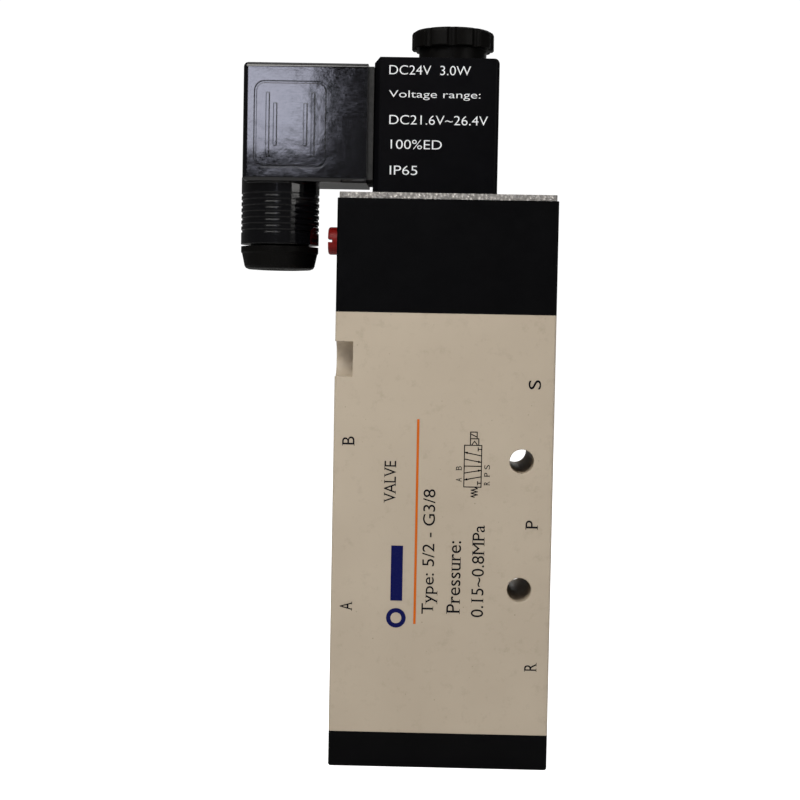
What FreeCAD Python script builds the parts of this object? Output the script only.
"""Single-solenoid, pilot-operated 5/2 spool valve with a DIN connector plug.

Frame: X to the right with ports P, S and R on +X, Y to the back, Z up.
The origin is the centre of the bottom cover's resting face. Millimetres.
"""
import FreeCAD, Part
import os
import re

import Sketcher
from FreeCAD import Placement, Rotation, Vector

SIZES = {
    # outer blocks, from the bottom up
    "half_width": 25.0,
    "half_depth": 17.0,
    "upright_edge": 0.6,
    "foot_edge": 1.0,
    "cover_edge": 0.6,
    "cover_top": 8.1,
    "body_top": 103.9,
    "pilot_top": 129.6,
    "plate_top": 131.0,
    "plate_half_width": 24.6,
    "plate_half_depth": 16.6,
    # spool bore and its five chambers
    "bore_radius": 9.0,
    "chamber_radius": 11.0,
    "chamber_half": 4.0,
    "chamber_pitch": 16.0,
    "chamber_low": 24.0,
    # ports
    "port_radius": 7.5,
    "port_mouth": 1.25,
    "port_floor": 14.0,
    "passage_radius": 4.0,
    "port_a_height": 37.1,
    "port_b_height": 74.9,
    # side mounting holes and manifold screw holes
    "side_hole_radius": 2.75,
    "side_hole_x": 17.85,
    "side_hole_low": 41.4,
    "side_hole_high": 70.7,
    "edge_break": 0.15,
    "manifold_radius": 2.2,
    "manifold_y": 13.4,
    "manifold_high": 93.2,
    "manifold_low": 18.8,
    "manifold_head_radius": 4.0,
    "manifold_head_x": 20.9,
    # assembly screws, M4
    "screw_x": 18.5,
    "screw_y": 12.2,
    "screw_radius": 2.0,
    "screw_clearance": 2.2,
    "screw_head_radius": 3.5,
    "screw_head_height": 4.0,
    "screw_head_sunk": 0.2,
    "screw_key": 1.7,
    "cover_key_depth": 2.2,
    "pilot_key": 1.45,
    "pilot_key_depth": 1.6,
    "pilot_screw_head": 3.9,
    "head_sink": 0.05,
    "pilot_screw_low": 97.0,
    "pilot_screw_hole_low": 96.2,
    "cover_screw_high": 15.0,
    "cover_screw_hole_high": 15.8,
    # gasket sheets
    "gasket_half_width": 23.5,
    "gasket_half_depth": 15.5,
    "gasket_thick": 0.8,
    "gasket_corner": 3.0,
    # pilot supply drilling
    "riser_x": -8.0,
    "riser_y": 14.0,
    "riser_radius": 1.0,
    "feed_height": 117.0,
    "feed_radius": 0.9,
    "stopper_radius": 1.5,
    "stopper_depth": 1.5,
    # spool, its seals and its spring
    "spool_radius": 8.92,
    "waist_radius": 5.5,
    "spool_low": 14.2,
    "land_low_top": 31.8,
    "land_mid_low": 54.2,
    "land_mid_top": 63.8,
    "land_high_low": 86.2,
    "spring_bore": 5.3,
    "spring_bore_top": 28.2,
    "spool_ring_outer": 8.96,
    "spool_ring_wire": 0.88,
    "ring_groove_half": 1.1,
    "wear_outer": 8.95,
    "wear_inner": 8.2,
    "wear_half": 1.5,
    "return_wire": 0.6,
    "return_mean": 4.3,
    "return_low": 4.1,
    "return_turns": 8.0,
    "cover_pocket": 5.8,
    # piston
    "piston_bore": 12.0,
    "piston_bore_top": 115.5,
    "piston_radius": 11.9,
    "piston_low": 110.0,
    "piston_high": 115.0,
    "piston_stem": 5.0,
    "piston_stem_low": 103.95,
    "piston_ring_outer": 11.93,
    "piston_ring_wire": 0.85,
    "piston_ring_height": 112.5,
    # pilot chamber and nozzle
    "tube_x": 0.5,
    "pilot_chamber": 6.0,
    "pilot_floor": 119.0,
    "nozzle_radius": 1.6,
    "nozzle_top": 123.0,
    "nozzle_hole": 0.5,
    "drop_x": 4.5,
    "drop_radius": 0.75,
    # armature
    "flange_low": 127.8,
    "flange_radius": 8.0,
    "flange_seat": 8.1,
    "tube_outer": 4.5,
    "tube_inner": 4.05,
    "tube_end": 161.0,
    "tube_ring_mean": 7.2,
    "tube_ring_wire": 0.4,
    "tube_groove_half": 0.6,
    "core_low": 146.1,
    "stud_radius": 4.0,
    "stud_top": 168.0,
    "stud_chamfer": 0.6,
    "core_hole": 0.8,
    "plunger_radius": 3.95,
    "plunger_chamfer": 0.3,
    "plunger_low": 123.05,
    "plunger_collar_top": 124.5,
    "plunger_collar": 5.0,
    "plunger_top": 145.0,
    "seat_seal_radius": 2.2,
    "seat_seal_top": 124.6,
    "exhaust_seal_radius": 1.6,
    "exhaust_seal_low": 144.0,
    "plunger_wire": 0.25,
    "plunger_mean": 4.5,
    "plunger_turns": 3.0,
    # manual override
    "button_height": 120.6,
    "button_radius": 3.25,
    "button_tip": 27.9,
    "button_edge": 0.5,
    "button_break": 0.15,
    "button_end": 10.4,
    "button_bore": 3.35,
    "button_bore_end": 7.0,
    "button_groove": 1.85,
    "button_groove_out": 15.4,
    "button_groove_in": 11.6,
    "button_spring_hole": 1.25,
    "button_spring_out": 16.0,
    "button_slot_half": 0.4,
    "button_slot_depth": 1.0,
    "button_ring_x": 20.5,
    "button_ring_mean": 2.63,
    "button_ring_wire": 0.63,
    "button_ring_floor": 1.93,
    "button_ring_half": 0.85,
    "keeper_radius": 0.75,
    "keeper_x": 12.5,
    "keeper_height": 123.3,
    "keeper_front": 4.0,
    "keeper_sunk": 0.2,
    "bypass_radius": 0.4,
    "bypass_sink": 0.3,
    "bypass_feed_x": 11.0,
    "bypass_out_x": 12.8,
    "override_wire": 0.15,
    "override_mean": 0.95,
    "override_turns": 7.0,
    # coil
    "coil_left": 17.4,
    "coil_right": 11.2,
    "coil_half": 10.8,
    "coil_low": 131.2,
    "coil_high": 162.2,
    "coil_chamfer": 1.3,
    "coil_edge": 1.2,
    "coil_bore": 4.65,
    "well_left": 8.8,
    "well_right": 10.1,
    "well_half": 8.8,
    "well_low": 133.0,
    "well_high": 160.4,
    "frame_thick": 1.2,
    "bobbin_wall": 1.2,
    "frame_half": 8.0,
    "bobbin_inner": 4.7,
    "bobbin_outer": 5.6,
    "bobbin_flange": 8.0,
    "winding_radius": 7.9,
    # terminals
    "blade_half_thick": 0.4,
    "blade_half_width": 3.15,
    "blade_out": 26.4,
    "blade_in": 13.0,
    "plug_axis": 147.1,
    "live_offset": 5.5,
    "ground_y": 6.2,
    "insert_outer": 2.6,
    "insert_inner": 1.55,
    "insert_in": 12.0,
    # connector plug
    "plug_left": 47.4,
    "plug_right": 18.8,
    "plug_half": 10.8,
    "plug_low": 133.5,
    "plug_high": 160.7,
    "plug_edge": 1.1,
    "plug_well_left": 43.0,
    "plug_well_half": 8.8,
    "plug_well_low": 135.7,
    "plug_well_high": 158.5,
    "panel_left": 44.8,
    "panel_right": 27.9,
    "panel_low": 136.7,
    "panel_high": 156.4,
    "panel_corner": 2.3,
    "panel_groove": 0.5,
    "panel_depth": 0.35,
    "rib_outer_x": 5.2,
    "rib_inner_x": 3.47,
    "rib_centre_x": 36.5,
    "rib_half": 0.37,
    "rib_proud": 0.3,
    "rib_long_half": 7.2,
    "rib_short_half": 4.83,
    "rib_height": 146.5,
    "sheet_left": 18.8,
    "sheet_right": 17.45,
    "sheet_half": 10.3,
    "sheet_low": 134.2,
    "sheet_high": 160.0,
    # gland
    "gland_x": 39.4,
    "neck_radius": 9.15,
    "neck_low": 119.4,
    "neck_bore": 6.95,
    "neck_root": 1.5,
    "neck_shoulder": 133.2,
    "wire_opening": 5.0,
    "neck_rib_low": 122.1,
    "neck_rib_pitch": 1.41,
    "neck_rib_count": 7,
    "neck_rib_depth": 0.22,
    "neck_rib_gap": 0.62,
    "gland_flange": 9.1,
    "gland_flange_low": 117.6,
    "gland_flange_high": 118.9,
    "gland_skirt": 8.85,
    "gland_skirt_height": 117.2,
    "gland_nose": 8.25,
    "gland_nose_height": 114.4,
    "gland_low": 113.5,
    "gland_stem": 6.87,
    "gland_stem_top": 126.5,
    "gland_hole": 4.6,
    "gland_lead": 0.8,
    "gland_edge": 0.5,
    "washer_low": 126.6,
    "washer_high": 127.4,
    "washer_inner": 4.2,
    "washer_outer": 6.6,
    "grommet_low": 127.5,
    "grommet_inner": 3.4,
    # terminal block
    "block_left": 36.0,
    "block_right": 19.3,
    "block_half": 8.6,
    "block_low": 136.2,
    "block_high": 158.0,
    "socket_left": 28.8,
    "socket_right": 19.6,
    "socket_half_thick": 1.4,
    "socket_half_width": 3.8,
    "socket_gap": 0.1,
    "socket_end_gap": 0.6,
    "block_hole": 1.8,
    "clamp_radius": 1.4,
    "clamp_head": 1.9,
    "clamp_left": 37.2,
    "clamp_slot_depth": 0.6,
    "clamp_slot_half": 0.25,
    "plug_screw_radius": 1.5,
    "plug_screw_head": 2.8,
    "plug_screw_recess": 3.2,
    "plug_screw_head_out": 46.9,
    "plug_screw_head_in": 45.1,
    "plug_screw_end": 12.5,
    "plug_slot_depth": 0.9,
    "plug_slot_half": 0.35,
    "insert_gap": 0.2,
    # coil nut
    "nut_low": 162.4,
    "nut_collar": 7.9,
    "nut_grip_low": 165.4,
    "nut_radius": 9.6,
    "nut_shoulder": 168.9,
    "nut_top": 169.8,
    "nut_bore": 4.1,
    "nut_bore_top": 168.3,
    "nut_groove": 1.15,
    "nut_groove_out": 9.75,
    "nut_groove_count": 10,
    "nut_groove_turn": -2.0,
    "nut_seal_inner": 4.8,
    "nut_seal_outer": 6.2,
    "nut_seal_top": 163.4,
    "nut_recess_gap": 0.05,
    "nut_edge": 0.2,
    "nut_crown": 0.15,
    # allowances: small clearances, how far joined solids sink together, how far cutters run past
    "slack": 0.1,
    "overlap": 0.5,
    "past": 1.0,
}

OVERSHOOT = 0.5     # how far a cutting tool runs past the face that it opens

AXIS_TURN = {
    "x": Rotation(Vector(0, 1, 0), 90),
    "y": Rotation(Vector(1, 0, 0), -90),
    "z": Rotation(),
}
CROSSWISE = {"x": "yz", "y": "xz", "z": "xy"}

doc = FreeCAD.newDocument("Valve")
sheet = doc.addObject("Spreadsheet::Sheet", "Sizes")


def fill_sheet():
    """Put each driving dimension in a named cell."""
    for row, (name, value) in enumerate(SIZES.items(), start=1):
        sheet.set(f"A{row}", name)
        sheet.set(f"B{row}", str(value))
        sheet.setAlias(f"B{row}", name)
    doc.recompute()


def in_sheet(text):
    """Turn the size names in an expression into references to the sheet."""
    return re.sub(r"[a-z_]+", lambda word: f"Sizes.{word[0]}" if word[0] in SIZES else word[0], str(text))


def size(text):
    """Value of an expression over the sheet."""
    return float(sheet.evalExpression(in_sheet(text)))


def bind(thing, name, text):
    thing.setExpression(name, in_sheet(text))


def place(thing, **where):
    """Bind the placement's x, y and z to expressions."""
    for axis, text in where.items():
        bind(thing, f"Placement.Base.{axis}", text)


# Solids ---------------------------------------------------------------------

def box(name, x, y, z):
    """Box between pairs of coordinates."""
    solid = doc.addObject("Part::Box", name)
    for length, axis, (low, high) in (("Length", "x", x), ("Width", "y", y), ("Height", "z", z)):
        bind(solid, length, f"({high}) - ({low})")
        bind(solid, f"Placement.Base.{axis}", low)
    return solid


def round_bar(kind, name, axis, low, high, centre):
    """Cylinder or cone along an axis, between two coordinates on it."""
    solid = doc.addObject(kind, name)
    bind(solid, "Height", f"({high}) - ({low})")
    solid.Placement = Placement(Vector(), AXIS_TURN[axis])
    across = dict(zip(CROSSWISE[axis], centre))
    place(solid, **{axis: low}, **across)
    return solid


def rod(name, axis, radius, low, high, centre=("0", "0")):
    solid = round_bar("Part::Cylinder", name, axis, low, high, centre)
    bind(solid, "Radius", radius)
    return solid


def cone(name, axis, radii, low, high, centre=("0", "0")):
    solid = round_bar("Part::Cone", name, axis, low, high, centre)
    bind(solid, "Radius1", radii[0])
    bind(solid, "Radius2", radii[1])
    return solid


def ring(name, axis, mean, wire, height, centre=("0", "0")):
    """Ring of round wire about an axis."""
    solid = doc.addObject("Part::Torus", name)
    bind(solid, "Radius1", mean)
    bind(solid, "Radius2", wire)
    solid.Placement = Placement(Vector(), AXIS_TURN[axis])
    across = dict(zip(CROSSWISE[axis], centre))
    place(solid, **{axis: height}, **across)
    return solid


def drill(name, radius, start, end):
    """Cylinder between two points given as coordinate expressions."""
    start_point = Vector(*(size(text) for text in start))
    end_point = Vector(*(size(text) for text in end))
    run = end_point - start_point
    solid = doc.addObject("Part::Cylinder", name)
    bind(solid, "Radius", radius)
    solid.Height = run.Length
    solid.Placement = Placement(start_point, Rotation(Vector(0, 0, 1), run))
    return solid


def hexagon(name, reach, low, high, centre):
    """Upright hexagonal prism for a key socket."""
    solid = doc.addObject("Part::Prism", name)
    solid.Polygon = 6
    bind(solid, "Circumradius", reach)
    bind(solid, "Height", f"({high}) - ({low})")
    place(solid, x=centre[0], y=centre[1], z=low)
    return solid


def fuse(name, *solids):
    result = doc.addObject("Part::MultiFuse", name)
    result.Shapes = list(solids)
    return result


def group(name, *solids):
    """Separate like pieces kept in one node."""
    result = doc.addObject("Part::Compound", name)
    result.Links = list(solids)
    return result


def cut(name, base, *tools):
    result = doc.addObject("Part::Cut", name)
    result.Base = base
    result.Tool = tools[0] if len(tools) == 1 else fuse(f"{name}_tools", *tools)
    return result


def soften(name, base, radius, chosen, kind="Part::Fillet"):
    """Round or chamfer the edges that the test picks."""
    doc.recompute()
    amount = size(radius)
    result = doc.addObject(kind, name)
    result.Base = base
    result.Edges = [
        (number, amount, amount)
        for number, edge in enumerate(base.Shape.Edges, start=1)
        if chosen(edge)
    ]
    return result


def turned(name, axis, profile, centre=("0", "0")):
    """Body of revolution whose outline is a list of (radius, height) expressions."""
    body = doc.addObject("PartDesign::Body", name)
    sketch = body.newObject("Sketcher::SketchObject", f"{name}_outline")
    plane = next(item for item in body.Origin.OriginFeatures if item.Role == "XZ_Plane")
    sketch.AttachmentSupport = (plane, "")
    sketch.MapMode = "FlatFace"
    corners = [Vector(size(radius), size(height), 0) for radius, height in profile]
    count = len(corners)
    for index, corner in enumerate(corners):
        sketch.addGeometry(Part.LineSegment(corner, corners[(index + 1) % count]), False)
    for index, (radius, height) in enumerate(profile):
        sketch.addConstraint(Sketcher.Constraint("Coincident", index, 2, (index + 1) % count, 1))
        across = sketch.addConstraint(
            Sketcher.Constraint("DistanceX", -1, 1, index, 1, corners[index].x))
        along = sketch.addConstraint(
            Sketcher.Constraint("DistanceY", -1, 1, index, 1, corners[index].y))
        bind(sketch, f"Constraints[{across}]", radius)
        bind(sketch, f"Constraints[{along}]", height)
    revolution = body.newObject("PartDesign::Revolution", f"{name}_turn")
    revolution.Profile = sketch
    revolution.ReferenceAxis = (sketch, ["V_Axis"])
    revolution.Angle = 360
    body.Placement = Placement(Vector(), AXIS_TURN[axis])
    place(body, **dict(zip(CROSSWISE[axis], centre)))
    return body


def spring(name, axis, mean, wire, low, high, turns, centre=("0", "0")):
    """Coil spring of round wire between two seats."""
    helix = doc.addObject("Part::Helix", f"{name}_line")
    helix.SegmentLength = 1     # one edge a turn
    bind(helix, "Radius", mean)
    bind(helix, "Height", f"({high}) - ({low}) - 2 * {wire}")
    bind(helix, "Pitch", f"(({high}) - ({low}) - 2 * {wire}) / {turns}")
    section = doc.addObject("Part::Circle", f"{name}_section")
    bind(section, "Radius", wire)
    section.Placement = Placement(Vector(), Rotation(Vector(1, 0, 0), 90))
    bind(section, "Placement.Base.x", mean)
    doc.recompute()
    coil = doc.addObject("Part::Sweep", f"{name}_wire")
    coil.Sections = [section]
    coil.Spine = (helix, [f"Edge{index + 1}" for index in range(len(helix.Shape.Edges))])
    coil.Solid = True
    coil.Frenet = True
    doc.recompute()
    start = {"x": size(low), "y": 0.0, "z": 0.0} if axis == "x" else {"x": 0.0, "y": 0.0, "z": size(low)}
    start[axis] += size(wire)
    for across, text in zip(CROSSWISE[axis], centre):
        start[across] = size(text)
    solid = doc.addObject("Part::Feature", name)
    solid.Shape = coil.Shape
    solid.Placement = Placement(Vector(start["x"], start["y"], start["z"]), AXIS_TURN[axis])
    return solid


# Edge tests -----------------------------------------------------------------

def runs_along(edge, axis):
    first, last = (vertex.Point for vertex in (edge.Vertexes[0], edge.Vertexes[-1]))
    others = [getattr(first - last, other) for other in CROSSWISE[axis]]
    return all(abs(gap) < 1e-6 for gap in others)


def lies_at(edge, axis, text):
    """Whether an edge lies in the plane where the axis has this value."""
    return all(abs(getattr(vertex.Point, axis) - size(text)) < 1e-6 for vertex in edge.Vertexes)


# Shared features ------------------------------------------------------------

def screw_places():
    """The four assembly screws, as (tag, x, y)."""
    signs = (("front_left", "-", "-"), ("front_right", "", "-"), ("back_left", "-", ""),
             ("back_right", "", ""))
    return [(tag, f"{sign_x}screw_x", f"{sign_y}screw_y") for tag, sign_x, sign_y in signs]


def screw_holes(name, radius, low, high):
    return [rod(f"{name}_{tag}", "z", radius, low, high, (x, y)) for tag, x, y in screw_places()]


def gasket_sheet(name, low):
    """Flat sheet with rounded corners."""
    blank = box(
        f"{name}_blank",
        ("-gasket_half_width", "gasket_half_width"),
        ("-gasket_half_depth", "gasket_half_depth"),
        (low, f"{low} + gasket_thick"),
    )
    return soften(f"{name}_sheet", blank, "gasket_corner", lambda edge: runs_along(edge, "z"))


def blade_places():
    """The three terminals, as (tag, y, z, whether the blade lies flat)."""
    return [
        ("live_low", "0", "plug_axis - live_offset", True),
        ("live_high", "0", "plug_axis + live_offset", True),
        ("ground", "-ground_y", "plug_axis", False),
    ]


def blade_box(name, x, grow, place_of):
    """Box around one terminal, wider than its blade by an amount all round."""
    _, centre_y, centre_z, flat = place_of
    thick = f"(blade_half_thick + {grow})"
    wide = f"(blade_half_width + {grow})"
    half_y, half_z = (wide, thick) if flat else (thick, wide)
    return box(name, x, (f"{centre_y} - {half_y}", f"{centre_y} + {half_y}"),
               (f"{centre_z} - {half_z}", f"{centre_z} + {half_z}"))


# Body block -----------------------------------------------------------------

def port(name, side, height, chamber_height):
    """Threaded port with its chamfered mouth and the passage to its chamber."""
    if side > 0:
        floor, face, inner, outer = "port_floor", "half_width", "bore_radius", "port_floor + slack"
        mouth_low, mouth_high = "half_width - port_mouth", "half_width"
        radii = ("port_radius", "port_radius + port_mouth")
    else:
        floor, face, inner, outer = "-half_width", "-port_floor", "-port_floor - slack", "-bore_radius"
        mouth_low, mouth_high = "-half_width", "-half_width + port_mouth"
        radii = ("port_radius + port_mouth", "port_radius")
    return [
        rod(f"{name}_hole", "x", "port_radius", floor, face, ("0", height)),
        cone(f"{name}_mouth", "x", radii, mouth_low, mouth_high, ("0", height)),
        rod(f"{name}_passage", "x", "passage_radius", inner, outer, ("0", chamber_height)),
    ]


def manifold_hole(name, depth_sign, height):
    """Through hole along X with a screw-head pocket that opens through the nearer face."""
    centre_y = f"{depth_sign}manifold_y"
    side = ("-half_depth - past", "-manifold_y") if depth_sign == "-" else ("manifold_y", "half_depth + past")
    return [
        rod(f"{name}_hole", "x", "manifold_radius", "-half_width - past", "half_width + past",
            (centre_y, height)),
        rod(f"{name}_pocket", "x", "manifold_head_radius", "-half_width - past", "-manifold_head_x",
            (centre_y, height)),
        box(f"{name}_gate", ("-half_width - past", "-manifold_head_x"), side,
            (f"{height} - manifold_head_radius", f"{height} + manifold_head_radius")),
    ]


def side_hole(name, height):
    """Mounting hole along Y, its edges just broken."""
    centre = ("side_hole_x", height)
    wide = "side_hole_radius + edge_break"
    return [
        rod(f"{name}_hole", "y", "side_hole_radius", "-half_depth - past", "half_depth + past", centre),
        cone(f"{name}_front", "y", (wide, "side_hole_radius"), "-half_depth",
             "-half_depth + edge_break", centre),
        cone(f"{name}_back", "y", ("side_hole_radius", wide), "half_depth - edge_break", "half_depth",
             centre),
    ]


def chamber_height(index):
    return f"chamber_low + {index} * chamber_pitch"


def body_block():
    blank = box("body_blank", ("-half_width", "half_width"), ("-half_depth", "half_depth"),
                ("cover_top", "body_top"))
    blank = soften("body_rounded", blank, "upright_edge", lambda edge: runs_along(edge, "z"))
    bores = [rod("spool_bore", "z", "bore_radius", "cover_top - past", "body_top + past")]
    for index in range(5):
        middle = chamber_height(index)
        bores.append(rod(f"chamber_{index}", "z", "chamber_radius",
                         f"{middle} - chamber_half", f"{middle} + chamber_half"))
    ports = []
    for name, index in (("port_r", 0), ("port_p", 2), ("port_s", 4)):
        ports += port(name, 1, chamber_height(index), chamber_height(index))
    ports += port("port_a", -1, "port_a_height", chamber_height(1))
    ports += port("port_b", -1, "port_b_height", chamber_height(3))
    mounting = side_hole("side_low", "side_hole_low") + side_hole("side_high", "side_hole_high")
    mounting += manifold_hole("manifold_front", "-", "manifold_high")
    mounting += manifold_hole("manifold_back", "", "manifold_low")
    supply = chamber_height(2)
    drillings = screw_holes("cover_thread", "screw_radius", "cover_top - past", "cover_screw_hole_high")
    drillings += screw_holes("pilot_thread", "screw_radius", "pilot_screw_hole_low", "body_top + past")
    drillings += [
        rod("riser", "z", "riser_radius", f"{supply} - overlap", "body_top + past", ("riser_x", "riser_y")),
        rod("supply_drill", "y", "riser_radius + 2 * slack", "bore_radius - 2 * past", "half_depth",
            ("riser_x", supply)),
        rod("supply_seat", "y", "stopper_radius", "half_depth - stopper_depth", "half_depth + past",
            ("riser_x", supply)),
    ]
    bored = cut("body_bored", blank, *bores)
    ported = cut("body_ported", bored, *ports)
    drilled = cut("body_drilled", ported, *mounting)
    return cut("body_block", drilled, *drillings)


def passage_plug():
    """Press-in plug that closes the supply drilling at the back."""
    return rod("passage_plug", "y", "stopper_radius", "half_depth - stopper_depth", "half_depth",
               ("riser_x", chamber_height(2)))


# Bottom end -----------------------------------------------------------------

def bottom_cover():
    blank = box("cover_blank", ("-half_width", "half_width"), ("-half_depth", "half_depth"),
                ("0", "cover_top"))
    blank = soften("cover_uprights", blank, "upright_edge", lambda edge: runs_along(edge, "z"))
    blank = soften("cover_foot", blank, "cover_edge", lambda edge: lies_at(edge, "z", "0"))
    tools = [
        rod("cover_spring_pocket", "z", "cover_pocket", "return_low", "cover_top + past"),
        gasket_sheet("cover_recess", "cover_top - gasket_thick"),
    ]
    tools += screw_holes("cover_hole", "screw_clearance", "-past", "cover_top + past")
    tools += screw_holes("cover_counterbore", "screw_head_radius + slack", "-past",
                         "screw_head_height + screw_head_sunk")
    return cut("bottom_cover", blank, *tools)


def bottom_gasket():
    sheet_solid = gasket_sheet("bottom_seal", "cover_top - gasket_thick")
    tools = [rod("bottom_seal_opening", "z", "bore_radius + overlap", "cover_top - 2 * past",
                 "cover_top + past")]
    tools += screw_holes("bottom_seal_hole", "screw_clearance + slack", "cover_top - 2 * past",
                         "cover_top + past")
    return cut("bottom_gasket", sheet_solid, *tools)


def cover_screws():
    """Cap screws from below, their heads sunk in the cover."""
    screws = []
    for tag, x, y in screw_places():
        head = rod(f"cover_head_{tag}", "z", "screw_head_radius", "screw_head_sunk",
                   "screw_head_height + screw_head_sunk", (x, y))
        shank = rod(f"cover_shank_{tag}", "z", "screw_radius", "screw_head_height", "cover_screw_high",
                    (x, y))
        key = hexagon(f"cover_key_{tag}", "screw_key", "-past", "cover_key_depth", (x, y))
        screws.append(cut(f"cover_screw_{tag}", fuse(f"cover_solid_{tag}", head, shank), key))
    return group("cover_screws", *screws)


def return_spring():
    return spring("return_spring", "z", "return_mean", "return_wire", "return_low", "spring_bore_top",
                  "return_turns")


# Spool ----------------------------------------------------------------------

RING_HEIGHTS = {
    "low_end": "chamber_low - 6",
    "low_land": "chamber_low + 6",
    "mid_low": chamber_height(2),
    "mid_high": f"{chamber_height(2)} + 6",
    "high_land": chamber_height(4),
    "high_end": f"{chamber_height(4)} + 12",
}
WEAR_HEIGHTS = {"low": "chamber_low", "high": f"{chamber_height(4)} + 6"}


def grooved(outer, grooves):
    """Outline points along a cylinder with square grooves of (height, floor, half width)."""
    points = []
    for height, floor, half in grooves:
        points += [
            (outer, f"{height} - {half}"),
            (floor, f"{height} - {half}"),
            (floor, f"{height} + {half}"),
            (outer, f"{height} + {half}"),
        ]
    return points


def spool():
    ring_floor = "spool_ring_outer - 2 * spool_ring_wire"
    seal = {name: (height, ring_floor, "ring_groove_half") for name, height in RING_HEIGHTS.items()}
    wear = {name: (height, "wear_inner", "wear_half") for name, height in WEAR_HEIGHTS.items()}
    outline = [("spring_bore", "spool_low"), ("spool_radius", "spool_low")]
    outline += grooved("spool_radius", [seal["low_end"], wear["low"], seal["low_land"]])
    outline += [("spool_radius", "land_low_top"), ("waist_radius", "land_low_top")]
    outline += [("waist_radius", "land_mid_low"), ("spool_radius", "land_mid_low")]
    outline += grooved("spool_radius", [seal["mid_low"], seal["mid_high"]])
    outline += [("spool_radius", "land_mid_top"), ("waist_radius", "land_mid_top")]
    outline += [("waist_radius", "land_high_low"), ("spool_radius", "land_high_low")]
    outline += grooved("spool_radius", [seal["high_land"], wear["high"], seal["high_end"]])
    outline += [("spool_radius", "body_top"), ("0", "body_top")]
    outline += [("0", "spring_bore_top"), ("spring_bore", "spring_bore_top")]
    return turned("spool", "z", outline)


def spool_o_rings():
    mean = "spool_ring_outer - spool_ring_wire"
    rings = [ring(f"spool_ring_{name}", "z", mean, "spool_ring_wire", height)
             for name, height in RING_HEIGHTS.items()]
    return group("spool_o_rings", *rings)


def spool_wear_rings():
    rings = []
    for name, height in WEAR_HEIGHTS.items():
        low, high = f"{height} - wear_half", f"{height} + wear_half"
        outer = rod(f"wear_outer_{name}", "z", "wear_outer", low, high)
        inner = rod(f"wear_inner_{name}", "z", "wear_inner", low, high)
        rings.append(cut(f"wear_ring_{name}", outer, inner))
    return group("spool_wear_rings", *rings)


# Piston ---------------------------------------------------------------------

def piston():
    floor = "piston_ring_outer - 2 * piston_ring_wire"
    outline = [("0", "piston_stem_low"), ("piston_stem", "piston_stem_low"), ("piston_stem", "piston_low"),
               ("piston_radius", "piston_low")]
    outline += grooved("piston_radius", [("piston_ring_height", floor, "ring_groove_half")])
    outline += [("piston_radius", "piston_high"), ("0", "piston_high")]
    return turned("piston", "z", outline)


def piston_seal():
    return ring("piston_seal", "z", "piston_ring_outer - piston_ring_wire", "piston_ring_wire",
                "piston_ring_height")


# Pilot body -----------------------------------------------------------------

def screw_sinks(name):
    """Countersinks of the four long screws."""
    return [
        cone(f"{name}_{tag}", "z", ("screw_clearance", "pilot_screw_head + slack"),
             "plate_top - pilot_screw_head - slack + screw_clearance", "plate_top", (x, y))
        for tag, x, y in screw_places()
    ]


def pilot_body():
    blank = box("pilot_blank", ("-half_width", "half_width"), ("-half_depth", "half_depth"),
                ("body_top", "pilot_top"))
    blank = soften("pilot_rounded", blank, "upright_edge", lambda edge: runs_along(edge, "z"))
    axis = ("tube_x", "0")
    chamber = rod("pilot_chamber_round", "z", "pilot_chamber", "pilot_floor", "pilot_top + past", axis)
    nozzle = rod("nozzle_outside", "z", "nozzle_radius", "pilot_floor - overlap", "nozzle_top", axis)
    groove_outer = rod("tube_groove_outer", "z", "tube_ring_mean + tube_groove_half",
                       "flange_low - 2 * tube_ring_wire", "flange_low + overlap", axis)
    groove_inner = rod("tube_groove_inner", "z", "tube_ring_mean - tube_groove_half",
                       "flange_low - 2 * tube_ring_wire", "flange_low", axis)
    riser = ("riser_x", "riser_y")
    tools = [
        rod("piston_cylinder", "z", "piston_bore", "body_top - past", "piston_bore_top"),
        gasket_sheet("pilot_recess", "body_top"),
        cut("pilot_chamber_ring", chamber, nozzle),
        rod("nozzle_orifice", "z", "nozzle_hole", "feed_height", "nozzle_top + past", axis),
        rod("flange_pocket", "z", "flange_seat", "flange_low", "pilot_top + past", axis),
        cut("tube_groove", groove_outer, groove_inner),
        rod("pilot_riser", "z", "riser_radius", "body_top - past", "button_height", riser),
        drill("pilot_feed", "feed_radius", ("riser_x", "riser_y", "feed_height"),
              ("tube_x", "0", "feed_height")),
        rod("piston_drop", "z", "drop_radius", "piston_bore_top - past", "pilot_floor + overlap",
            ("drop_x", "0")),
        rod("button_bore_hole", "x", "button_bore", "-half_width - past", "-button_bore_end",
            ("0", "button_height")),
        rod("keeper_hole", "y", "keeper_radius", "-keeper_front", "half_depth + past",
            ("-keeper_x", "keeper_height")),
        drill("bypass_feed", "bypass_radius", ("riser_x", "riser_y", "button_height"),
              ("-bypass_feed_x", "button_bore - past", "button_height")),
        drill("bypass_outlet", "bypass_radius",
              ("-bypass_out_x", "0", "button_height - button_bore + overlap"),
              ("-bypass_feed_x", "0", "piston_bore_top - bypass_sink")),
    ]
    tools += screw_holes("pilot_hole", "screw_clearance", "body_top - past", "pilot_top + past")
    tools += screw_sinks("pilot_sink")
    return cut("pilot_body", blank, *tools)


def pilot_gasket():
    sheet_solid = gasket_sheet("pilot_seal", "body_top")
    low, high = "body_top - past", "body_top + 2 * past"
    tools = [
        rod("pilot_seal_opening", "z", "piston_bore + 2 * slack", low, high),
        rod("pilot_seal_riser", "z", "riser_radius + 2 * slack", low, high, ("riser_x", "riser_y")),
    ]
    tools += screw_holes("pilot_seal_hole", "screw_clearance + slack", low, high)
    return cut("pilot_gasket", sheet_solid, *tools)


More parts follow.
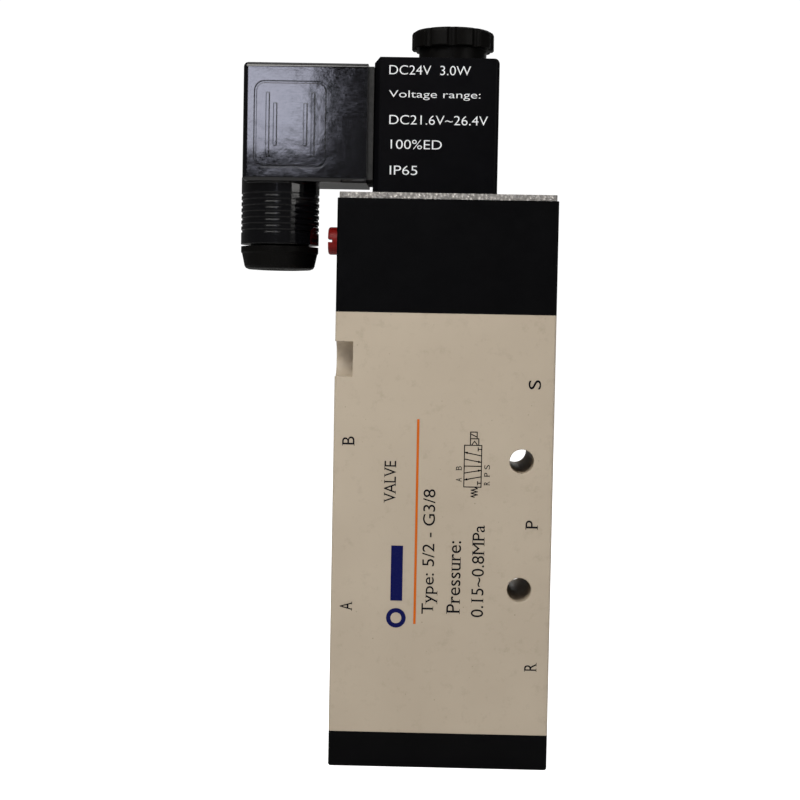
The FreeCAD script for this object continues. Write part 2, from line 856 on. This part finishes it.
def fixed_plate():
    blank = box("plate_blank", ("-plate_half_width", "plate_half_width"),
                ("-plate_half_depth", "plate_half_depth"), ("pilot_top", "plate_top"))
    blank = soften("plate_rounded", blank, "upright_edge", lambda edge: runs_along(edge, "z"))
    tools = [rod("plate_tube_hole", "z", "tube_outer + slack", "pilot_top - past", "plate_top + past",
                 ("tube_x", "0"))]
    tools += screw_holes("plate_hole", "screw_clearance", "pilot_top - past", "plate_top + past")
    tools += screw_sinks("plate_sink")
    return cut("fixed_plate", blank, *tools)


def pilot_screws():
    """Long countersunk screws, flush with the plate."""
    screws = []
    flush = "plate_top - head_sink"
    for tag, x, y in screw_places():
        head = cone(f"pilot_head_{tag}", "z", ("screw_radius", "pilot_screw_head"),
                    f"{flush} - pilot_screw_head + screw_radius", flush, (x, y))
        shank = rod(f"pilot_shank_{tag}", "z", "screw_radius", "pilot_screw_low",
                    f"{flush} - pilot_screw_head + screw_radius + slack", (x, y))
        key = hexagon(f"pilot_key_{tag}", "pilot_key", "plate_top - pilot_key_depth",
                      "plate_top + past", (x, y))
        screws.append(cut(f"pilot_screw_{tag}", fuse(f"pilot_solid_{tag}", head, shank), key))
    return group("pilot_screws", *screws)


# Armature -------------------------------------------------------------------

def guide_tube():
    return turned("guide_tube", "z", [
        ("tube_inner", "flange_low"),
        ("flange_radius", "flange_low"),
        ("flange_radius", "pilot_top"),
        ("tube_outer", "pilot_top"),
        ("tube_outer", "tube_end"),
        ("tube_inner", "tube_end"),
    ], ("tube_x", "0"))


def fixed_core():
    """Steel core closing the tube, with the threaded stud and the exhaust hole."""
    return turned("fixed_core", "z", [
        ("core_hole", "core_low"),
        ("tube_inner", "core_low"),
        ("tube_inner", "tube_end"),
        ("stud_radius", "tube_end"),
        ("stud_radius", "stud_top - stud_chamfer"),
        ("stud_radius - stud_chamfer", "stud_top"),
        ("core_hole", "stud_top"),
    ], ("tube_x", "0"))


def tube_o_ring():
    return ring("tube_o_ring", "z", "tube_ring_mean", "tube_ring_wire", "flange_low - tube_ring_wire",
                ("tube_x", "0"))


def plunger():
    return turned("plunger", "z", [
        ("seat_seal_radius", "plunger_low"),
        ("plunger_collar", "plunger_low"),
        ("plunger_collar", "plunger_collar_top"),
        ("plunger_radius", "plunger_collar_top"),
        ("plunger_radius", "plunger_top - plunger_chamfer"),
        ("plunger_radius - plunger_chamfer", "plunger_top"),
        ("exhaust_seal_radius", "plunger_top"),
        ("exhaust_seal_radius", "exhaust_seal_low"),
        ("0", "exhaust_seal_low"),
        ("0", "seat_seal_top"),
        ("seat_seal_radius", "seat_seal_top"),
    ], ("tube_x", "0"))


def plunger_seal():
    return rod("plunger_seal", "z", "seat_seal_radius", "plunger_low", "seat_seal_top", ("tube_x", "0"))


def exhaust_seal():
    return rod("exhaust_seal", "z", "exhaust_seal_radius", "exhaust_seal_low", "plunger_top", ("tube_x", "0"))


def plunger_spring():
    return spring("plunger_spring", "z", "plunger_mean", "plunger_wire", "plunger_collar_top", "flange_low",
                  "plunger_turns", ("tube_x", "0"))


# Manual override ------------------------------------------------------------

def override_button():
    solid = turned("button_solid", "x", [
        ("0", "-button_tip"),
        ("button_radius - button_edge", "-button_tip"),
        ("button_radius - button_break", "-button_tip + button_break"),
        ("button_radius", "-button_tip + button_edge"),
        ("button_radius", "-button_ring_x - button_ring_half"),
        ("button_ring_floor", "-button_ring_x - button_ring_half"),
        ("button_ring_floor", "-button_ring_x + button_ring_half"),
        ("button_radius", "-button_ring_x + button_ring_half"),
        ("button_radius", "-button_groove_out"),
        ("button_groove", "-button_groove_out"),
        ("button_groove", "-button_groove_in"),
        ("button_radius", "-button_groove_in"),
        ("button_radius", "-button_end"),
        ("button_spring_hole", "-button_end"),
        ("button_spring_hole", "-button_spring_out"),
        ("0", "-button_spring_out"),
    ], ("0", "button_height"))
    slot = box("button_slot", ("-button_tip - past", "-button_tip + button_slot_depth"),
               ("-button_radius - past", "button_radius + past"),
               ("button_height - button_slot_half", "button_height + button_slot_half"))
    return cut("override_button", solid, slot)


def override_o_ring():
    return ring("override_o_ring", "x", "button_ring_mean", "button_ring_wire", "-button_ring_x",
                ("0", "button_height"))


def override_retaining_pin():
    return rod("override_retaining_pin", "y", "keeper_radius", "-keeper_front", "half_depth - keeper_sunk",
               ("-keeper_x", "keeper_height"))


def override_spring():
    return spring("override_spring", "x", "override_mean", "override_wire", "-button_spring_out",
                  "-button_bore_end", "override_turns", ("0", "button_height"))


# Coil -----------------------------------------------------------------------

def terminal_pins():
    blades = [blade_box(f"blade_{item[0]}", ("-blade_out", "-blade_in"), "0", item)
              for item in blade_places()]
    return group("terminal_pins", *blades)


def coil_case():
    blank = box("coil_blank", ("-coil_left", "coil_right"), ("-coil_half", "coil_half"),
                ("coil_low", "coil_high"))
    blank = soften("coil_bevelled", blank, "coil_chamfer", coil_left_edges, "Part::Chamfer")
    blank = soften("coil_rounded", blank, "coil_edge", coil_right_edges)
    tools = [
        rod("coil_bore_hole", "z", "coil_bore", "coil_low - past", "coil_high + past", ("tube_x", "0")),
        box("coil_well", ("-well_left", "well_right"), ("-well_half", "well_half"),
            ("well_low", "well_high")),
        rod("insert_hole", "x", "insert_outer", "-coil_left - past", "-insert_in", ("0", "plug_axis")),
    ]
    tools += [blade_box(f"blade_slot_{item[0]}", ("-coil_left - past", "-blade_in"), "0", item)
              for item in blade_places()]
    return cut("coil_case", blank, *tools)


def coil_left_edges(edge):
    at_left = lies_at(edge, "x", "-coil_left")
    return at_left and (runs_along(edge, "z") or lies_at(edge, "z", "coil_high"))


def coil_right_edges(edge):
    upright = runs_along(edge, "z") and lies_at(edge, "x", "coil_right")
    top_right = lies_at(edge, "z", "coil_high") and lies_at(edge, "x", "coil_right")
    return upright or top_right


def magnet_frame():
    """Steel strap bent round the winding, pierced for the tube."""
    outside = box("frame_outside", ("-well_left", "well_right"), ("-frame_half", "frame_half"),
                  ("well_low", "well_high"))
    inside = box("frame_inside", ("-well_left - past", "well_right - frame_thick"),
                 ("-frame_half - past", "frame_half + past"),
                 ("well_low + frame_thick", "well_high - frame_thick"))
    hole = rod("frame_hole", "z", "coil_bore", "well_low - past", "well_high + past", ("tube_x", "0"))
    return cut("magnet_frame", outside, inside, hole)


def coil_bobbin():
    low, high = "well_low + frame_thick", "well_high - frame_thick"
    return turned("coil_bobbin", "z", [
        ("bobbin_inner", low),
        ("bobbin_flange", low),
        ("bobbin_flange", f"{low} + bobbin_wall"),
        ("bobbin_outer", f"{low} + bobbin_wall"),
        ("bobbin_outer", f"{high} - bobbin_wall"),
        ("bobbin_flange", f"{high} - bobbin_wall"),
        ("bobbin_flange", high),
        ("bobbin_inner", high),
    ], ("tube_x", "0"))


def coil_winding():
    low, high = "well_low + frame_thick + bobbin_wall", "well_high - frame_thick - bobbin_wall"
    outer = rod("winding_outside", "z", "winding_radius", low, high, ("tube_x", "0"))
    inner = rod("winding_inside", "z", "bobbin_outer", low, high, ("tube_x", "0"))
    return cut("coil_winding", outer, inner)


def coil_insert():
    axis = ("0", "plug_axis")
    outer = rod("insert_outside", "x", "insert_outer", "-coil_left", "-insert_in", axis)
    inner = rod("insert_inside", "x", "insert_inner", "-coil_left - past",
                "-plug_screw_end + insert_gap", axis)
    return cut("coil_insert", outer, inner)


# Connector plug -------------------------------------------------------------

def rounded_panel(name, shrink, y):
    """Upright rectangle with rounded corners on the plug's front."""
    blank = box(f"{name}_blank", (f"-panel_left + {shrink}", f"-panel_right - {shrink}"), y,
                (f"panel_low + {shrink}", f"panel_high - {shrink}"))
    return soften(name, blank, f"panel_corner - {shrink}", lambda edge: runs_along(edge, "y"))


def panel_ribs():
    """Four raised bars on the plug's front, the outer pair longer."""
    bars = []
    for tag, offset, half in (("long", "rib_outer_x", "rib_long_half"),
                              ("short", "rib_inner_x", "rib_short_half")):
        for side, sign in (("left", "-"), ("right", "+")):
            middle = f"-rib_centre_x {sign} {offset}"
            bars.append(box(f"rib_{tag}_{side}", (f"{middle} - rib_half", f"{middle} + rib_half"),
                            ("-plug_half - rib_proud", "-plug_half + overlap"),
                            (f"rib_height - {half}", f"rib_height + {half}")))
    return bars


def neck_grooves():
    """Rings cut round the gland neck, which leave its finger ribs."""
    axis = ("-gland_x", "0")
    rings = []
    for index in range(int(size("neck_rib_count"))):
        low = f"neck_rib_low + {index} * neck_rib_pitch"
        outer = rod(f"neck_groove_outer_{index}", "z", "neck_radius + past", low,
                    f"{low} + neck_rib_gap", axis)
        inner = rod(f"neck_groove_inner_{index}", "z", "neck_radius - neck_rib_depth", low,
                    f"{low} + neck_rib_gap", axis)
        rings.append(cut(f"neck_groove_{index}", outer, inner))
    return rings


def plug_housing():
    blank = box("plug_blank", ("-plug_left", "-plug_right"), ("-plug_half", "plug_half"),
                ("plug_low", "plug_high"))
    blank = soften("plug_rounded", blank, "plug_edge", lambda edge: not lies_at(edge, "x", "-plug_right"))
    axis = ("-gland_x", "0")
    neck = rod("neck", "z", "neck_radius", "neck_low", "plug_low + neck_root", axis)
    solid = fuse("plug_solid", blank, neck, *panel_ribs())
    groove_y = ("-plug_half - slack", "-plug_half + panel_depth")
    groove = cut("panel_groove_ring", rounded_panel("panel_outer", "0", groove_y),
                 rounded_panel("panel_inner", "panel_groove", groove_y))
    screw_axis = ("0", "plug_axis")
    tools = [
        groove,
        box("plug_well", ("-plug_well_left", "-plug_right + past"), ("-plug_well_half", "plug_well_half"),
            ("plug_well_low", "plug_well_high")),
        rod("neck_bore_hole", "z", "neck_bore", "neck_low - past", "neck_shoulder", axis),
        rod("wire_hole", "z", "wire_opening", "neck_shoulder - overlap", "plug_well_low + overlap", axis),
        rod("plug_screw_seat", "x", "plug_screw_recess", "-plug_left - past", "-plug_screw_head_in",
            screw_axis),
        rod("plug_screw_hole", "x", "plug_screw_radius + slack", "-plug_left", "-plug_well_left + past",
            screw_axis),
    ]
    tools += neck_grooves()
    return cut("plug_housing", solid, *tools)


def plug_gasket():
    blank = box("sheet_blank", ("-sheet_left", "-sheet_right"), ("-sheet_half", "sheet_half"),
                ("sheet_low", "sheet_high"))
    tools = [rod("sheet_screw_hole", "x", "plug_screw_radius + overlap",
                 "-sheet_left - past", "-sheet_right + past",
                 ("0", "plug_axis"))]
    tools += [blade_box(f"sheet_slot_{item[0]}", ("-sheet_left - past", "-sheet_right + past"), "0.4", item)
              for item in blade_places()]
    return cut("plug_gasket", blank, *tools)


def socket_box(name, x, place_of):
    """Outside of one contact socket."""
    _, centre_y, centre_z, flat = place_of
    halves = ("socket_half_thick", "socket_half_width")
    if flat:
        halves = ("socket_half_width", "socket_half_thick")
    return box(name, x, (f"{centre_y} - {halves[0]}", f"{centre_y} + {halves[0]}"),
               (f"{centre_z} - {halves[1]}", f"{centre_z} + {halves[1]}"))


def terminal_block():
    blank = box("block_blank", ("-block_left", "-block_right"), ("-block_half", "block_half"),
                ("block_low", "block_high"))
    tools = [rod("block_screw_hole", "x", "block_hole", "-block_left - past", "-block_right + past",
                 ("0", "plug_axis"))]
    for item in blade_places():
        tools.append(socket_box(f"block_slot_{item[0]}", ("-socket_left", "-block_right + past"), item))
        tools.append(rod(f"block_clamp_{item[0]}", "x", "clamp_radius",
                         "-block_left - past", "-socket_left + overlap",
                         (item[1], item[2])))
    return cut("terminal_block", blank, *tools)


def contact_sockets():
    sockets = []
    for item in blade_places():
        outside = socket_box(f"socket_outside_{item[0]}", ("-socket_left", "-socket_right"), item)
        inside = blade_box(f"socket_inside_{item[0]}",
                           ("-blade_out - socket_end_gap", "-socket_right + past"), "socket_gap", item)
        sockets.append(cut(f"socket_{item[0]}", outside, inside))
    return group("contact_sockets", *sockets)


def terminal_screws():
    screws = []
    for tag, y, z, _ in blade_places():
        head = rod(f"clamp_head_{tag}", "x", "clamp_head", "-clamp_left", "-block_left", (y, z))
        shank = rod(f"clamp_shank_{tag}", "x", "clamp_radius", "-clamp_left + overlap", "-socket_left",
                    (y, z))
        slot = box(f"clamp_slot_{tag}", ("-clamp_left - past", "-clamp_left + clamp_slot_depth"),
                       (f"{y} - clamp_head - past", f"{y} + clamp_head + past"),
                   (f"{z} - clamp_slot_half", f"{z} + clamp_slot_half"))
        screws.append(cut(f"clamp_{tag}", fuse(f"clamp_solid_{tag}", head, shank), slot))
    return group("terminal_screws", *screws)


def plug_screw():
    axis = ("0", "plug_axis")
    head = rod("plug_screw_top", "x", "plug_screw_head", "-plug_screw_head_out", "-plug_screw_head_in", axis)
    shank = rod("plug_screw_shank", "x", "plug_screw_radius", "-plug_screw_head_in - overlap",
                "-plug_screw_end", axis)
    slot = box("plug_screw_slot", ("-plug_screw_head_out - past", "-plug_screw_head_out + plug_slot_depth"),
               ("-plug_screw_head - past", "plug_screw_head + past"),
               ("plug_axis - plug_slot_half", "plug_axis + plug_slot_half"))
    return cut("plug_screw", fuse("plug_screw_solid", head, shank), slot)


# Cable gland ----------------------------------------------------------------

def sleeve(name, inner, outer, low, high, centre):
    outside = rod(f"{name}_outside", "z", outer, low, high, centre)
    inside = rod(f"{name}_inside", "z", inner, low, high, centre)
    return cut(name, outside, inside)


def gland_grommet():
    return sleeve("gland_grommet", "grommet_inner", "neck_bore", "grommet_low", "neck_shoulder",
                  ("-gland_x", "0"))


def gland_washer():
    return sleeve("gland_washer", "washer_inner", "washer_outer", "washer_low", "washer_high",
                  ("-gland_x", "0"))


def gland_screw():
    return turned("gland_screw", "z", [
        ("gland_hole + gland_lead", "gland_low"),
        ("gland_nose - past", "gland_low + slack"),
        ("gland_nose - 0.6 * gland_edge", "gland_low + 0.8 * gland_edge"),
        ("gland_nose", "gland_nose_height"),
        ("gland_skirt", "gland_skirt_height"),
        ("gland_flange", "gland_flange_low"),
        ("gland_flange", "gland_flange_high"),
        ("gland_stem", "gland_flange_high"),
        ("gland_stem", "gland_stem_top"),
        ("gland_hole", "gland_stem_top"),
        ("gland_hole", "gland_low + gland_lead"),
    ], ("-gland_x", "0"))


# Coil nut -------------------------------------------------------------------

def nut_seal():
    return sleeve("nut_seal", "nut_seal_inner", "nut_seal_outer", "coil_high", "nut_seal_top",
                  ("tube_x", "0"))


def coil_nut():
    """Finger nut: a plain collar under a lobed grip with a slightly crowned top."""
    inner, outer = "nut_seal_inner - nut_recess_gap", "nut_seal_outer + nut_recess_gap"
    recess_top = "nut_seal_top + nut_recess_gap"
    blank = turned("nut_blank", "z", [
        ("0", "nut_bore_top"),
        ("nut_bore", "nut_bore_top"),
        ("nut_bore", "nut_low"),
        (inner, "nut_low"),
        (inner, recess_top),
        (outer, recess_top),
        (outer, "nut_low"),
        ("nut_collar", "nut_low"),
        ("nut_collar", "nut_grip_low"),
        ("nut_radius - nut_edge", "nut_grip_low"),
        ("nut_radius", "nut_grip_low + nut_edge"),
        ("nut_radius", "nut_shoulder"),
        ("nut_radius - nut_edge", "nut_shoulder + 2 * nut_edge"),
        ("nut_radius - 4 * nut_edge", "nut_top - nut_crown"),
        ("0", "nut_top"),
    ], ("tube_x", "0"))
    count = int(size("nut_groove_count"))
    cutters = []
    for index in range(count):
        angle = f"(nut_groove_turn + {index} * 360 / {count}) * 1 deg"
        centre = (f"tube_x + nut_groove_out * sin({angle})", f"-nut_groove_out * cos({angle})")
        cutters.append(rod(f"nut_groove_{index}", "z", "nut_groove", "nut_grip_low - overlap",
                           "nut_top + past", centre))
    return cut("coil_nut", blank, *cutters)


SUB_PARTS = [
    body_block, bottom_cover, bottom_gasket, cover_screws, passage_plug, pilot_body, pilot_gasket,
    fixed_plate, pilot_screws, guide_tube, fixed_core, tube_o_ring, return_spring, plunger_spring,
    override_spring, override_retaining_pin, spool, spool_o_rings, spool_wear_rings, piston,
    piston_seal, plunger, plunger_seal, exhaust_seal, override_button, override_o_ring, coil_case,
    coil_bobbin, coil_winding, magnet_frame, terminal_pins, coil_insert, nut_seal, coil_nut,
    plug_housing, plug_gasket, terminal_block, contact_sockets, terminal_screws, plug_screw,
    gland_grommet, gland_washer, gland_screw,
]


def check(pieces):
    """Stop if any object failed or any piece is unsound."""
    failed = [item.Name for item in doc.Objects if "Invalid" in item.State or "Error" in item.State]
    unsound = [piece.Label for piece in pieces
               if piece.Shape.isNull() or not piece.Shape.isValid() or not piece.Shape.Solids]
    if failed or unsound:
        raise RuntimeError(f"failed objects {failed}, unsound pieces {unsound}")


def main():
    fill_sheet()
    pieces = []
    for make in SUB_PARTS:
        piece = make()
        piece.Label = make.__name__
        pieces.append(piece)
    doc.recompute()
    check(pieces)
    os.makedirs("parts", exist_ok=True)
    for piece in pieces:
        piece.Shape.exportStep(f"parts/{piece.Label}.step")


main()
